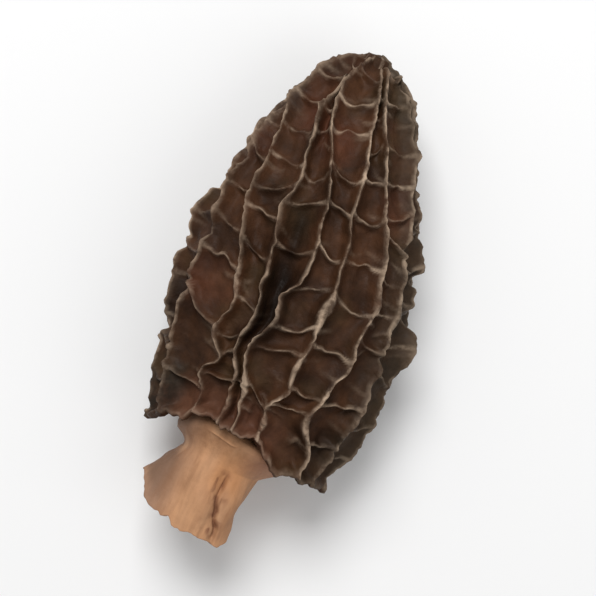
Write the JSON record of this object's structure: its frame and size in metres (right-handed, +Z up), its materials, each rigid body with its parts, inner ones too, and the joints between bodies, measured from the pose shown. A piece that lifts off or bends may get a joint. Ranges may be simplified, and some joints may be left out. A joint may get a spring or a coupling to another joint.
{
  "type": "dried morel mushroom",
  "caption": "Dried morel mushroom lying on its side: a hollow egg-shaped cap covered by a raised net of ridges and pits, on a short flared hollow stem.",
  "frame": {"origin": "under the middle of the mushroom's box, on the surface it lies on", "axes": "+Y along the cap from the stem's cut end to the cap's tip, +Z up from the surface, +X across the cap"},
  "size_m": [0.0364, 0.0706, 0.0238],
  "materials": {
    "cap": "matt dried skin, dark brown with paler crests",
    "stem": "matt dried skin, light tan"
  },
  "bodies": {
    "root": {"cap": "cap", "stem": "stem"}
  },
  "joints": []
}
